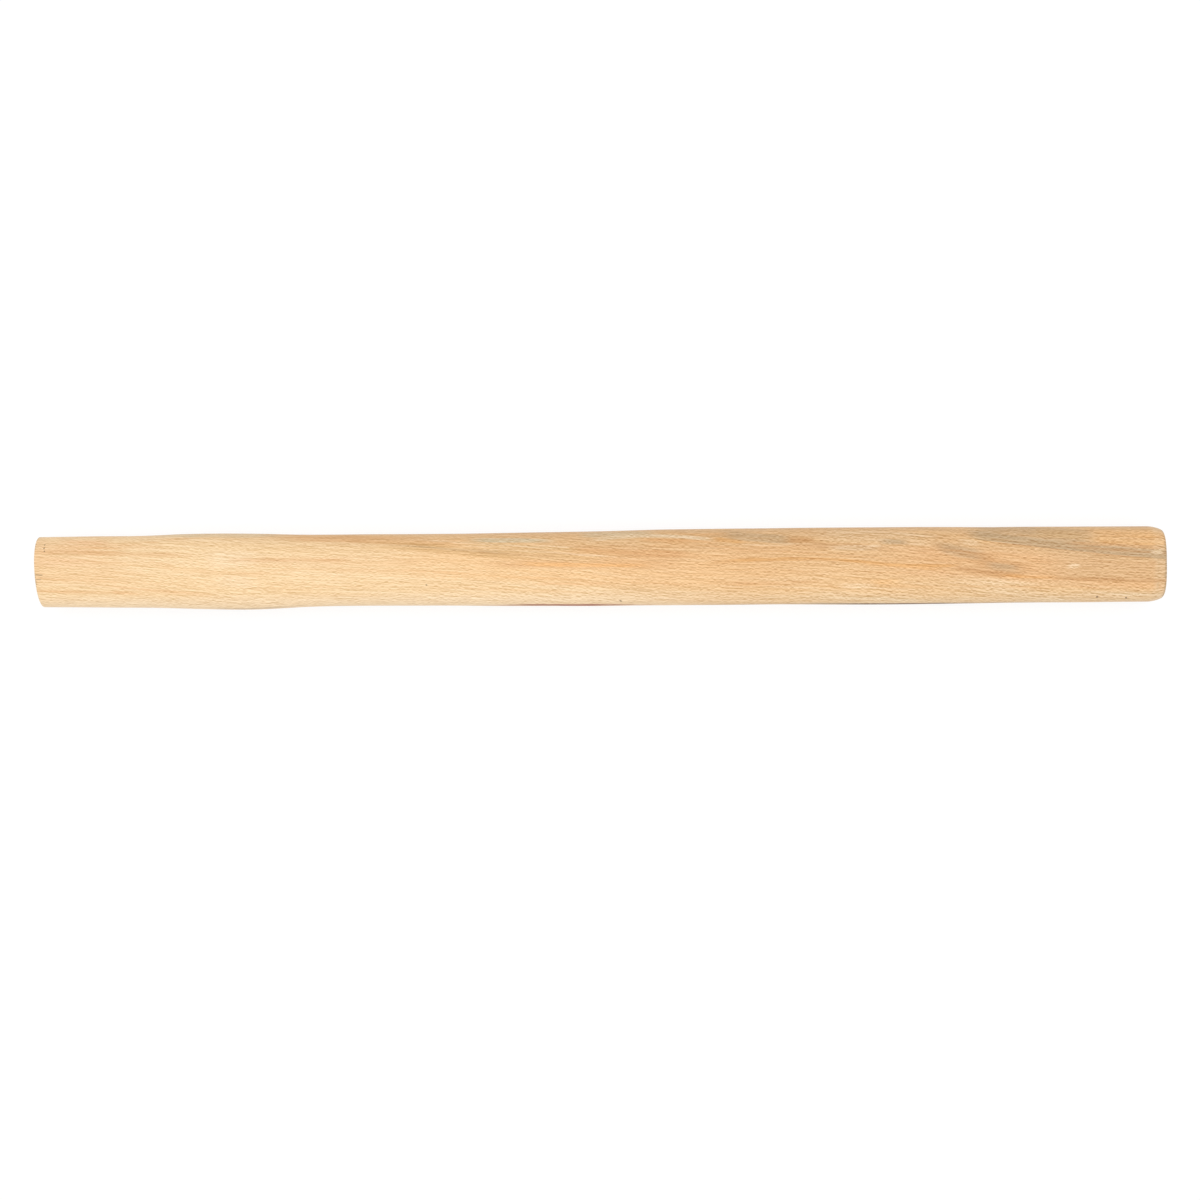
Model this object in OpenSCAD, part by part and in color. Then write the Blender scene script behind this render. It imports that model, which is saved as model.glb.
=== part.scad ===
// Handle for a hammer or mallet: one length of beech, shaped, sanded and sawn off at the head end.
// X runs along the handle from the head end to the butt, Y across its broad faces and Z through its thickness.
// The origin is where the handle's axis meets the sawn head end.

/* [Overall] */
// Length from the head end to the butt
handle_length = 400; // [320:5:600]

/* [Head end] */
// Width at the sawn end
head_width = 25; // [20:0.1:34]
// Thickness at the sawn end
head_thickness = 18; // [14:0.1:26]
// Angle of the saw cut, away from square, in degrees
head_cut_angle = 3; // [-6:0.5:6]
// Roundness exponent of the oval at the sawn end, where 2 is an ellipse
head_squareness = 2.1; // [2:0.1:4]

/* [Tongue] */
// Length of the tongue that goes into the eye of a tool head
tongue_length = 36; // [25:1:60]
// Width where the tongue ends
tongue_width = 25.6; // [20:0.1:34]
// Thickness where the tongue ends
tongue_thickness = 18.4; // [14:0.1:26]

/* [Shoulder] */
// Distance from the end of the tongue to the crest of the shoulder
shoulder_rise = 35; // [15:1:50]
// Width at the crest of the shoulder
shoulder_width = 27.2; // [20:0.1:36]
// Thickness at the crest of the shoulder
shoulder_thickness = 19.6; // [14:0.1:28]

/* [Waist] */
// Distance from the crest of the shoulder to the waist
shoulder_fall = 41; // [20:1:60]
// Width at the waist
waist_width = 25.5; // [18:0.1:34]
// Thickness at the waist
waist_thickness = 18.2; // [12:0.1:26]

/* [Grip] */
// Distance from the fullest part of the grip to the butt
grip_length = 130; // [80:5:200]
// Width at the fullest part of the grip
grip_width = 27.6; // [20:0.1:38]
// Thickness at the fullest part of the grip
grip_thickness = 21; // [14:0.1:30]

/* [Butt] */
// Width at the butt, before its edge is rounded
butt_width = 26.9; // [20:0.1:38]
// Thickness at the butt, before its edge is rounded
butt_thickness = 20.4; // [14:0.1:30]
// Roundness exponent of the oval at the butt, where 2 is an ellipse
butt_squareness = 3; // [2:0.1:4]
// Length over which the edge of the butt is rounded off
butt_rounding_length = 5; // [1:0.1:10]
// Depth to which the edge of the butt is rounded off
butt_rounding_depth = 1; // [0.2:0.1:3]
// Small flat that takes the sharp edge off the butt face
butt_arris = 0.3; // [0.1:0.1:0.8]

/* [Hidden] */

// Spacing of the sections along the handle and the number of sides of each
section_spacing = 8;
section_sides = 32;
// Number of steps in the rounded edge of the butt
rounding_steps = 4;
// Wood beyond the head end that the saw takes off
saw_waste = 4;

shoulder_x = tongue_length + shoulder_rise;
waist_x = shoulder_x + shoulder_fall;
grip_x = handle_length - grip_length;
rounding_x = handle_length - butt_rounding_length;
arris_x = handle_length - butt_arris;

// Place, width and thickness of each section that sets the handle's shape
main_sections = [
    [0, head_width, head_thickness],
    [tongue_length, tongue_width, tongue_thickness],
    [shoulder_x, shoulder_width, shoulder_thickness],
    [waist_x, waist_width, waist_thickness],
    [grip_x, grip_width, grip_thickness],
    [handle_length, butt_width, butt_thickness],
];

function ease(t) = t * t * (3 - 2 * t);

function mix(a, b, t) = a + (b - a) * t;

// Number of the stretch between two main sections that x lies in
function stretch_at(x, i = 0) =
    i >= len(main_sections) - 2 || x < main_sections[i + 1][0] ? i : stretch_at(x, i + 1);

// Width and thickness at x, blended smoothly from one main section to the next
function size_at(x) =
    let (
        i = stretch_at(x),
        from = main_sections[i],
        to = main_sections[i + 1],
        t = ease(max(0, (x - from[0]) / (to[0] - from[0])))
    )
    [mix(from[1], to[1], t), mix(from[2], to[2], t)];

function squareness_at(x) = mix(head_squareness, butt_squareness, max(0, x / handle_length));

function signed_power(value, exponent) = sign(value) * pow(abs(value), exponent);

// Points of the oval at x, brought in all round by inset, with a flat side below for the handle to lie on
function oval_at(x, inset = 0) =
    let (
        half = size_at(x) / 2 - [inset, inset],
        exponent = 2 / squareness_at(x)
    )
    [
        for (k = [0 : section_sides - 1])
            let (a = 360 * (k + 0.5) / section_sides)
            [x, half[0] * signed_power(cos(a), exponent), half[1] * signed_power(sin(a), exponent)]
    ];

// Evenly spaced places from one x up to, but not including, another
function places(from, to) =
    let (n = ceil((to - from) / section_spacing))
    [for (k = [0 : n - 1]) mix(from, to, k / n)];

body_places = concat(
    [-saw_waste],
    [
        for (i = [0 : len(main_sections) - 2])
            let (from = main_sections[i][0], to = min(main_sections[i + 1][0], rounding_x))
            each places(from, to)
    ]
);

ovals = concat(
    [for (x = body_places) oval_at(x)],
    [
        for (k = [0 : rounding_steps])
            let (t = k / rounding_steps)
            oval_at(mix(rounding_x, arris_x, t), butt_rounding_depth * t * t)
    ],
    [oval_at(handle_length, butt_rounding_depth + butt_arris)]
);

// Solid skinned over a row of ovals, from the first to the last
module skin(rows) {
    sides = len(rows[0]);
    last = len(rows) - 1;
    side_faces = [
        for (i = [0 : last - 1], k = [0 : sides - 1])
            let (
                a = i * sides + k,
                b = i * sides + (k + 1) % sides,
                c = a + sides,
                d = b + sides
            )
            each [[a, b, c], [b, d, c]]
    ];
    first_face = [for (k = [sides - 1 : -1 : 0]) k];
    last_face = [for (k = [0 : sides - 1]) last * sides + k];
    polyhedron([for (row = rows) each row], concat(side_faces, [first_face, last_face]));
}

// Block that stands for what the saw takes off the head end
module saw_cut() {
    block = 2 * max(head_width, head_thickness) + 2 * saw_waste;
    rotate([0, 0, head_cut_angle])
        translate([-block, -block / 2, -block / 2])
        cube(block);
}

module handle() {
    color("burlywood")
        difference() {
            skin(ovals);
            saw_cut();
        }
}

handle();
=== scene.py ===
"""Dress the bare beech hammer handle: its mesh, the figure of the wood, the studio and the camera."""

import logging
import math
from collections.abc import Callable, Sequence
from dataclasses import dataclass, replace
from enum import Enum
from functools import partial, reduce

import bmesh
import bpy
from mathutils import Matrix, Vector

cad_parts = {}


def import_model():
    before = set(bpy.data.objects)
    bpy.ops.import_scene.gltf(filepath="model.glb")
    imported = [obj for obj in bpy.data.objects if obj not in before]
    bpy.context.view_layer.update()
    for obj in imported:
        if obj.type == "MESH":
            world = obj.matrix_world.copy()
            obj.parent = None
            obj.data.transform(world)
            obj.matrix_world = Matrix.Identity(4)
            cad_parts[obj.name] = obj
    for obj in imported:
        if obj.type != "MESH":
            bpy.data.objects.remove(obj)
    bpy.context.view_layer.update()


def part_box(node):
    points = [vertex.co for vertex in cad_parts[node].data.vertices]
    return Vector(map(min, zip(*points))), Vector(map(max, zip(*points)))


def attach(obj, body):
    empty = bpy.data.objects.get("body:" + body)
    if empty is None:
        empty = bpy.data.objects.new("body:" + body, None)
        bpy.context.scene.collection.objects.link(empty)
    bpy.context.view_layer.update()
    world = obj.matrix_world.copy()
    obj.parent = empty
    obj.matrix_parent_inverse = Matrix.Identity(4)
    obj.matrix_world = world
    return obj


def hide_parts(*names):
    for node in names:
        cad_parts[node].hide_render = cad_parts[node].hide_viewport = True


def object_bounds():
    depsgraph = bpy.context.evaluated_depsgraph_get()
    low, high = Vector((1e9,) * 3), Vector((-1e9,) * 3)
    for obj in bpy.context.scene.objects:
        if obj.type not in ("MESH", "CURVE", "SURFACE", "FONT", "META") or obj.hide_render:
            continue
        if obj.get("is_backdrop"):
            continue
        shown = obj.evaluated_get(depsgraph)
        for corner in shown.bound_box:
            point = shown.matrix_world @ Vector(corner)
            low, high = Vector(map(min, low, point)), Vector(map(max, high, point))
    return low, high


LOG = logging.getLogger("beech_handle")
MM = 0.001

Socket = bpy.types.NodeSocket
Colour = tuple[int, int, int]
Value = Socket | float
Linear = tuple[float, float, float, float]
Sizes = tuple[float, float, float]
Shade = Socket | Linear


def linear(colour: Colour) -> Linear:
    """Turn a colour as it is seen on a screen into the linear one that a shader takes.

    Args:
        colour: Red, green and blue, from 0 to 255.

    Returns:
        Linear red, green and blue from 0 to 1, with a solid alpha.
    """
    parts = [c / 255 for c in colour]
    red, green, blue = [p / 12.92 if p <= 0.04045 else ((p + 0.055) / 1.055) ** 2.4 for p in parts]
    return (red, green, blue, 1.0)


def ease(t: float) -> float:
    """Give a smooth step from 0 to 1."""
    return t * t * (3 - 2 * t)


def mix(first: float, second: float, t: float) -> float:
    """Blend two numbers."""
    return first + (second - first) * t


def smooth(places: Sequence[float], values: Sequence[float], t: float) -> float:
    """Give a point of the smooth curve through four points, between the middle two.

    Args:
        places: Places of the four points.
        values: Values at those places.
        t: Share of the way between the middle two.

    Returns:
        The value there.
    """
    span = places[2] - places[1]
    leave = (values[2] - values[0]) / (places[2] - places[0]) * span
    arrive = (values[3] - values[1]) / (places[3] - places[1]) * span
    bend = t * (1 - t) * ((1 - t) * leave - t * arrive)
    return mix(values[1], values[2], ease(t)) + bend


def signed_power(value: float, exponent: float) -> float:
    """Raise a number's size to a power and keep its sign."""
    return math.copysign(abs(value) ** exponent, value)


class NodeSheet:
    """A node tree with short calls for the nodes that the wood uses."""

    def __init__(self, tree: bpy.types.NodeTree) -> None:
        """Keep the tree that the calls add to."""
        self.tree = tree

    @classmethod
    def group(cls, name: str, inputs: dict[str, str], outputs: dict[str, str]) -> "NodeSheet":
        """Start a new shader node group.

        Args:
            name: Name of the group.
            inputs: Input names, each with Float, Vector or Color.
            outputs: Output names, each with Float, Vector or Color.

        Returns:
            A sheet on the group's empty tree.
        """
        tree = bpy.data.node_groups.new(name, "ShaderNodeTree")
        for way, sockets in (("INPUT", inputs), ("OUTPUT", outputs)):
            for socket, kind in sockets.items():
                tree.interface.new_socket(name=socket, in_out=way, socket_type=f"NodeSocket{kind}")
        return cls(tree)

    @classmethod
    def cleared(cls, owner: bpy.types.Material | bpy.types.World) -> "NodeSheet":
        """Clear the nodes of a material or a world.

        Args:
            owner: The material or world.

        Returns:
            A sheet on its empty tree.
        """
        owner.use_nodes = True
        owner.node_tree.nodes.clear()
        return cls(owner.node_tree)

    def add(self, kind: str, *values: Value | Shade | Sizes, **settings: object) -> bpy.types.Node:
        """Add a node.

        Args:
            kind: Blender's name for the node's type.
            *values: What its first inputs take, in order.
            **settings: Properties of the node.

        Returns:
            The new node.
        """
        node = self.tree.nodes.new(kind)
        for name, value in settings.items():
            setattr(node, name, value)
        for socket, value in zip(node.inputs, values):
            self.feed(socket, value)
        return node

    def feed(self, socket: Socket, value: Value | Shade | Sizes) -> None:
        """Link a socket to another, or set its number.

        Args:
            socket: Input socket to feed.
            value: Output socket to link, or a constant.
        """
        if isinstance(value, Socket):
            self.tree.links.new(value, socket)
        else:
            socket.default_value = value

    def place(self, group: bpy.types.NodeTree, *values: Value) -> bpy.types.Node:
        """Place a node group and feed its inputs in order."""
        return self.add("ShaderNodeGroup", *values, node_tree=group)

    def math(self, operation: str, *values: Value, clamp: bool = False) -> Socket:
        """Work out a number by one of Blender's operations, held between 0 and 1 if asked."""
        return self.add("ShaderNodeMath", *values, operation=operation, use_clamp=clamp).outputs[0]

    def total(self, *terms: Value) -> Socket:
        """Add up several numbers."""
        return reduce(partial(self.math, "ADD"), terms)

    def product(self, *factors: Value) -> Socket:
        """Multiply several numbers."""
        return reduce(partial(self.math, "MULTIPLY"), factors)

    def step(self, value: Value, low: Value, high: Value, start: float = 0.0, end: float = 1.0) -> Socket:
        """Step smoothly from a start to an end value as a number rises from low to high."""
        settings = {"interpolation_type": "SMOOTHSTEP", "clamp": False}
        return self.add("ShaderNodeMapRange", value, low, high, start, end, **settings).outputs[0]

    def vector(self, x: Value, y: Value, z: Value) -> Socket:
        """Join three numbers into a vector."""
        return self.add("ShaderNodeCombineXYZ", x, y, z).outputs[0]

    def split(self, vector: Socket) -> tuple[Socket, Socket, Socket]:
        """Split a vector into its three numbers."""
        return tuple(self.add("ShaderNodeSeparateXYZ", vector).outputs)

    def stretch(self, vector: Socket, sizes: Sizes) -> Socket:
        """Divide a vector by a size along each axis, so that a pattern of unit cells takes those sizes."""
        return self.add("ShaderNodeVectorMath", vector, sizes, operation="DIVIDE").outputs[0]

    def noise(self, vector: Socket, sizes: Sizes, detail: float = 2.0, roughness: float = 0.5) -> Socket:
        """Lay a soft noise with cells of the given sizes.

        Args:
            vector: Place, in the same unit as the sizes.
            sizes: Cell sizes along each axis.
            detail: Number of finer layers.
            roughness: Strength of each finer layer.

        Returns:
            Socket of a number from 0 to 1, around 0.5.
        """
        node = self.add("ShaderNodeTexNoise", self.stretch(vector, sizes), noise_dimensions="3D")
        node.inputs["Scale"].default_value = 1.0
        node.inputs["Detail"].default_value = detail
        node.inputs["Roughness"].default_value = roughness
        return node.outputs[0]

    def chance(self, x: Value, y: Value, z: Value) -> tuple[Socket, Socket, Socket]:
        """Draw three random numbers from 0 to 1 that stay the same for a cell."""
        node = self.add("ShaderNodeTexWhiteNoise", self.vector(x, y, z), noise_dimensions="3D")
        return self.split(node.outputs["Color"])

    def sway(self, noise: Socket, amount: float) -> Socket:
        """Turn a noise around 0.5 into an offset of about plus or minus half the amount."""
        return self.math("MULTIPLY_ADD", noise, amount, -amount / 2)

    def tint(self, factor: Value, under: Shade, over: Shade, blend: str = "MIX") -> Socket:
        """Lay one colour over another.

        Args:
            factor: How much of the upper colour shows, from 0 to 1.
            under: Lower colour.
            over: Upper colour.
            blend: Blender's name for the way to lay it.

        Returns:
            The mixed colour's socket.
        """
        node = self.add("ShaderNodeMix", data_type="RGBA", blend_type=blend, clamp_factor=True)
        sockets = {socket.identifier: socket for socket in node.inputs}
        self.feed(sockets["Factor_Float"], factor)
        self.feed(sockets["A_Color"], under)
        self.feed(sockets["B_Color"], over)
        return next(s for s in node.outputs if s.identifier == "Result_Color")


class Tone(Enum):
    """Colours of the streaks in the wood, and of the painted shade and sheen along the edges."""

    CREAM = (254, 226, 187)
    BLOND = (238, 211, 173)
    SILVER = (216, 201, 168)
    PEWTER = (216, 181, 136)
    SLATE = (198, 169, 131)
    OLIVE = (219, 178, 122)
    UMBER = (226, 174, 119)
    COCOA = (204, 152, 97)
    RUSSET = (223, 166, 99)
    AMBER = (252, 186, 108)
    HONEY = (249, 194, 129)
    TAN = (240, 189, 135)
    ROSE = (243, 191, 142)
    BARK = (165, 88, 66)
    SPECK = (100, 72, 50)


class Side(Enum):
    """Side of the handle that a streak shows on."""

    UPPER = "broad upper side"
    FRONT = "narrow front side"
    UNDER = "broad lower side"


@dataclass(frozen=True)
class Streak:
    """A streak, stain or spot in the wood, or a strip of painted shade or sheen along an edge. Places are in
    millimetres.

    Attributes:
        along: Where it starts and ends along the handle, from the head end.
        across: Its place across its side at its start and its end.
        half_width: Half its width.
        tone: Its colour.
        strength: How much of that colour shows.
        fade: Length over which its ends fade.
        edges: Softness of its lower and upper edge.
        bow: How far its middle bows across.
        deepest: Least distance out from the middle plane where it still shows.
        fray: How far fibres of the clear wood break it up, from 0 to 1.
        side: Side of the handle that it shows on.
    """

    along: tuple[float, float]
    across: tuple[float, float]
    half_width: float
    tone: Tone
    strength: float
    fade: float
    edges: tuple[float, float] = (0.5, 0.5)
    bow: float = 0.0
    deepest: float = 0.0
    fray: float = 0.5
    side: Side = Side.UPPER


class StreakGroup:
    """Node group that masks one streak.

    Attributes:
        INPUTS: Names of the group's inputs, in order.
        DEPTH_FADE: Depth in millimetres over which a streak fades out below its side.
        GAP_STARTS: Fibre noise below which a gap between the fibres is fully open.
        GAP_ENDS: Fibre noise above which there is no gap.
        tree: The group's node tree.
    """

    INPUTS = (
        "Along", "Across", "Height", "Stray", "Fibre", "Start", "End", "Across Start", "Across End", "Bow",
        "Half Width", "Lower Edge", "Upper Edge", "Fade", "Deepest", "Fray",
    )
    DEPTH_FADE = 4.0
    GAP_STARTS, GAP_ENDS = 0.32, 0.62

    def __init__(self) -> None:
        """Build the group."""
        sheet = NodeSheet.group("grain_streak", dict.fromkeys(self.INPUTS, "Float"), {"Mask": "Float"})
        given = sheet.add("NodeGroupInput").outputs[:len(self.INPUTS)]
        along, across, height, stray, fibre, start, end, across_start, across_end, bow, *shape = given
        half_width, lower_edge, upper_edge, fade, deepest, fray = shape
        length = sheet.math("SUBTRACT", end, start)
        run = sheet.math("DIVIDE", sheet.math("SUBTRACT", along, start), length)
        rise = sheet.math("SUBTRACT", across_end, across_start)
        chord = sheet.math("MULTIPLY_ADD", rise, run, across_start)
        arch = sheet.product(4.0, run, sheet.math("SUBTRACT", 1.0, run), bow)
        ragged = sheet.math("MULTIPLY_ADD", stray, fray, across)
        off = sheet.math("SUBTRACT", ragged, sheet.total(chord, arch))
        low = sheet.product(half_width, -1.0)
        lower = sheet.step(off, sheet.math("SUBTRACT", low, lower_edge), low)
        upper = sheet.step(off, half_width, sheet.total(half_width, upper_edge), 1.0, 0.0)
        head = sheet.step(along, start, sheet.total(start, fade))
        tail = sheet.step(along, sheet.math("SUBTRACT", end, fade), end, 1.0, 0.0)
        depth = sheet.step(height, deepest, sheet.total(deepest, self.DEPTH_FADE))
        pale = sheet.step(fibre, self.GAP_STARTS, self.GAP_ENDS, 1.0, 0.0)
        whole = sheet.math("SUBTRACT", 1.0, sheet.product(pale, fray))
        mask = sheet.product(lower, upper, head, tail, depth, whole)
        sheet.add("NodeGroupOutput", mask)
        self.tree = sheet.tree


@dataclass(frozen=True)
class RayFlecks:
    """Short dark spindles where the wood's rays meet the surface. Sizes are in millimetres.

    Attributes:
        spacing: Spacing along the grain, across it and along the rays.
        half_length: Half the length of a long fleck.
        shortest: Length of the shortest fleck, as a share of a long one.
        half_width: Half its width in the middle.
        soft: Softness of its edge.
        faintest: Strength of the faintest fleck, from 0 to 1.
        stagger: How far rows are moved along the grain, in spacings.
        slip: How far a fleck strays along the grain, in spacings.
        rise: How far it strays across the grain, in spacings.
    """

    spacing: Sizes = (2.6, 0.9, 6.0)
    half_length: float = 1.4
    shortest: float = 0.55
    half_width: float = 0.17
    soft: float = 0.1
    faintest: float = 0.1
    stagger: float = 9.0
    slip: float = 0.5
    rise: float = 0.24

    def mask(self, sheet: NodeSheet, grain: Socket) -> Socket:
        """Mask the flecks.

        Args:
            sheet: Sheet to draw on.
            grain: Place along the grain, across it and along the rays.

        Returns:
            Socket of the mask, from 0 to 1.
        """
        along, across, deep = sheet.split(sheet.stretch(grain, self.spacing))
        row, side = self.cell(sheet, across)
        layer, _ = self.cell(sheet, deep)
        stagger, _, _ = sheet.chance(row, layer, 0.0)
        count, run = self.cell(sheet, sheet.math("MULTIPLY_ADD", stagger, self.stagger, along))
        size, dark, stray = sheet.chance(count, row, layer)
        least = self.half_length * self.shortest
        reach = sheet.math("MULTIPLY_ADD", size, self.half_length - least, least)
        distance = sheet.product(sheet.total(run, sheet.sway(dark, self.slip)), self.spacing[0])
        share = sheet.math("DIVIDE", distance, reach)
        bulge = sheet.math("SUBTRACT", 1.0, sheet.product(share, share))
        edge = sheet.product(bulge, self.half_width)
        offset = sheet.product(sheet.total(side, sheet.sway(size, self.rise)), self.spacing[1])
        room = sheet.math("SUBTRACT", edge, sheet.math("ABSOLUTE", offset))
        inside = sheet.math("DIVIDE", room, self.soft, clamp=True)
        depth = sheet.math("MULTIPLY_ADD", stray, 1 - self.faintest, self.faintest)
        return sheet.product(inside, depth)

    @staticmethod
    def cell(sheet: NodeSheet, value: Socket) -> tuple[Socket, Socket]:
        """Split a number into its whole cell and the place in it, from -0.5 to 0.5."""
        return sheet.math("FLOOR", value), sheet.math("SUBTRACT", sheet.math("FRACT", value), 0.5)


@dataclass(frozen=True)
class FibreRows:
    """Fine rows of fibres, each with a light and a dark side. Sizes are in millimetres.

    Attributes:
        length: Length of a stretch of even strength along the grain.
        spacing: Spacing of the rows across the grain.
        depth: Depth below the surface over which that strength changes.
        contrast: How far the dark and the light side differ.
        apart: Distance between rows in the noise of their strength, so that they differ.
    """

    length: float
    spacing: float
    depth: float
    contrast: float
    apart: float = 7.3

    def shade(self, sheet: NodeSheet, grain: Socket) -> Socket:
        """Shade the rows.

        Args:
            sheet: Sheet to draw on.
            grain: Place along the grain, across it and along the rays.

        Returns:
            Socket of a number that is above 0 in dark fibres and below 0 in light ones.
        """
        along, across, deep = sheet.split(sheet.stretch(grain, (self.length, self.spacing, self.depth)))
        row = sheet.math("FLOOR", across)
        place = sheet.vector(along, sheet.product(row, self.apart), deep)
        strength = sheet.sway(sheet.noise(place, (1.0, 1.0, 1.0), 1.0), self.contrast)
        return sheet.product(strength, sheet.math("SINE", sheet.product(across, 2 * math.pi)))


@dataclass(frozen=True)
class BeechFigure:
    """The solid figure of the beech, the same through the whole piece. Sizes are in millimetres.

    Attributes:
        length: Length of the handle.
        runout: How far the grain runs across the handle for each unit along it.
        wave_length: Length of the slow wave in the grain.
        wave_start: Where that wave crosses its middle.
        wave_depth: How far it swings to either side.
        ring_runout: How far the growth rings run across the handle for each unit along it.
        ring_tilt: Angle of the rays from square to the broad face.
        ring_width: Width of a growth ring.
        pith_distance: Distance of the tree's heart below the handle.
        girth_radius: Radius at which the rows of fibres and the flecks are spaced round the handle.
        darkens: Where the wood's colour starts to darken towards the butt.
        heart_edge: Place of the heartwood's edge across the handle, at the head end.
        heart_slope: How far that edge runs across for each unit along the handle.
        heart_soft: Softness of that edge to either side.
        head_bite: Strength of the flecks and rows near the head end, where 1 is that at the butt.
        flank_bite: Their strength on the narrow sides, where 1 is that on the broad ones.
        fleck_strength: Strength of the flecks.
        glint_strength: Strength of the light fibres in the rows.
        fibre_relief: Height of the fibres.
        fleck_relief: Depth of the flecks.
        flecks: Ray flecks.
        rows: Layers of rows of fibres.
        streaks: Streaks, stains and spots, and strips of painted shade and sheen along the edges.
        pale: Lighter colour near the head end.
        tan: Darker colour near the butt.
        heart: Heartwood.
        cream: Light fibres.
        warm: Orange fibres.
        late_line: Line that ends a ring.
        fleck_shade: Share of red, green and blue light that a fleck leaves.
        fibre_shade: Share that the darkest fibres leave.
        fibre_glint: Share that the lightest fibres leave, above the rest.
        daylight: Share that all the wood leaves.
    """

    length: float
    runout: float = 0.073
    wave_length: float = 145.0
    wave_start: float = 40.0
    wave_depth: float = 0.75
    ring_runout: float = 0.033
    ring_tilt: float = math.radians(24)
    ring_width: float = 2.3
    pith_distance: float = 75.0
    girth_radius: float = 10.313
    darkens: float = 60.0
    heart_edge: float = 17.6
    heart_slope: float = -0.062
    heart_soft: float = 7.0
    head_bite: float = 0.61
    flank_bite: float = 0.8
    fleck_strength: float = 0.6
    glint_strength: float = 0.35
    fibre_relief: float = 0.02
    fleck_relief: float = 0.012
    flecks: RayFlecks = RayFlecks()
    rows: tuple[FibreRows, ...] = (
        FibreRows(1.4, 0.8, 5.0, 3.8),
        FibreRows(9.0, 0.9, 5.0, 2.6),
    )
    streaks: tuple[Streak, ...] = ()
    pale: Colour = (252, 219, 172)
    tan: Colour = (240, 203, 156)
    heart: Colour = (227, 184, 134)
    cream: Colour = (255, 230, 192)
    warm: Colour = (242, 198, 142)
    late_line: Colour = (232, 174, 112)
    fleck_shade: Linear = (0.54, 0.34, 0.13, 1.0)
    fibre_shade: Linear = (0.70, 0.60, 0.44, 1.0)
    fibre_glint: Linear = (1.25, 1.4, 1.6, 1.0)
    daylight: Linear = (0.88, 0.888, 0.91, 1.0)

    def group(self) -> bpy.types.NodeTree:
        """Build the node group.

        Returns:
            A group that gives the wood's colour, height in millimetres and fibre at a place in metres.
        """
        outputs = {"Colour": "Color", "End Colour": "Color", "Height": "Float", "Fibre": "Float"}
        sheet = NodeSheet.group("beech_figure", {"Place": "Vector"}, outputs)
        place = sheet.add("NodeGroupInput").outputs["Place"]
        spot = sheet.stretch(place, (MM, MM, MM))
        x, y, z = sheet.split(spot)

        # Grain that runs out across the handle, with a slow wave and a little wander
        wander = sheet.sway(sheet.noise(spot, (70.0, 30.0, 30.0), 1.0), 1.4)
        ripple = sheet.sway(sheet.noise(spot, (11.0, 3.5, 4.0), 0.0), 0.5)
        across = sheet.total(y, wander, ripple)
        past = sheet.math("SUBTRACT", x, self.length / 2)
        turn = 2 * math.pi / self.wave_length
        wave = sheet.math("SINE", sheet.math("MULTIPLY_ADD", x, turn, -self.wave_start * turn))
        slope = sheet.product(past, self.runout)
        drift = sheet.total(across, slope, sheet.product(wave, self.wave_depth))
        grain = self.turned(sheet, x, drift, z)
        girth = sheet.product(sheet.math("ARCTAN2", y, z), self.girth_radius)
        face = sheet.vector(x, sheet.total(girth, sheet.math("SUBTRACT", drift, y)), z)
        ring = self.turned(sheet, x, sheet.math("MULTIPLY_ADD", past, self.ring_runout, across), z)

        # Noises along the fibres, and the flecks
        broad = sheet.noise(grain, (44.0, 1.7, 2.4), 3.0, 0.55)
        thread = sheet.noise(grain, (24.0, 0.8, 1.2), 2.0)
        fibre = sheet.noise(grain, (7.0, 0.42, 0.6), 1.0, 0.6)
        fleck = self.flecks.mask(sheet, face)

        # Broad colours, growth rings and streaks
        colour = self.ground(sheet, x, across, broad)
        lines = self.ring_lines(sheet, ring)
        end_colour = self.end_grain(sheet, colour, grain, lines)
        line = sheet.product(lines, sheet.step(thread, 0.35, 0.6), 0.45)
        colour = sheet.tint(line, colour, linear(self.late_line))
        stray = sheet.total(sheet.sway(fibre, 1.6), sheet.sway(broad, 2.4))
        along = sheet.math("MULTIPLY_ADD", stray, 0.5, x)
        colour = self.stain(sheet, colour, sheet.vector(along, y, z), stray, thread)

        # Flecks and rows of fibres, fainter near the head end and on the narrow sides
        flank = sheet.step(sheet.math("ABSOLUTE", z), 2.0, 6.0, self.flank_bite, 1.0)
        bite = sheet.product(sheet.step(x, self.darkens, self.length, self.head_bite, 1.0), flank)
        fleck = sheet.product(fleck, bite, self.fleck_strength)
        colour = sheet.tint(fleck, colour, self.fleck_shade, "MULTIPLY")
        rows = sheet.total(*(layer.shade(sheet, face) for layer in self.rows))
        rows = sheet.product(rows, bite)
        dark = sheet.total(sheet.step(fibre, 0.25, 0.75, 0.45, 0.05), rows)
        colour = sheet.tint(dark, colour, self.fibre_shade, "MULTIPLY")
        glint = sheet.product(rows, -self.glint_strength)
        colour = sheet.tint(glint, colour, self.fibre_glint, "MULTIPLY")
        colour = sheet.tint(1.0, colour, self.daylight, "MULTIPLY")

        ridges = sheet.product(fibre, self.fibre_relief)
        height = sheet.total(ridges, sheet.product(fleck, -self.fleck_relief))
        sheet.add("NodeGroupOutput", colour, end_colour, height, fibre)
        return sheet.tree

    def turned(self, sheet: NodeSheet, x: Socket, across: Socket, z: Socket) -> Socket:
        """Turn a place to the rays.

        Args:
            sheet: Sheet to draw on.
            x: Place along the handle.
            across: Place across the handle.
            z: Height above the middle plane.

        Returns:
            Place along the grain, across the rays and along the rays.
        """
        cos, sin = math.cos(self.ring_tilt), math.sin(self.ring_tilt)
        tangent = sheet.math("MULTIPLY_ADD", across, cos, sheet.product(z, -sin))
        radial = sheet.math("MULTIPLY_ADD", across, sin, sheet.product(z, cos))
        return sheet.vector(x, tangent, radial)

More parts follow.
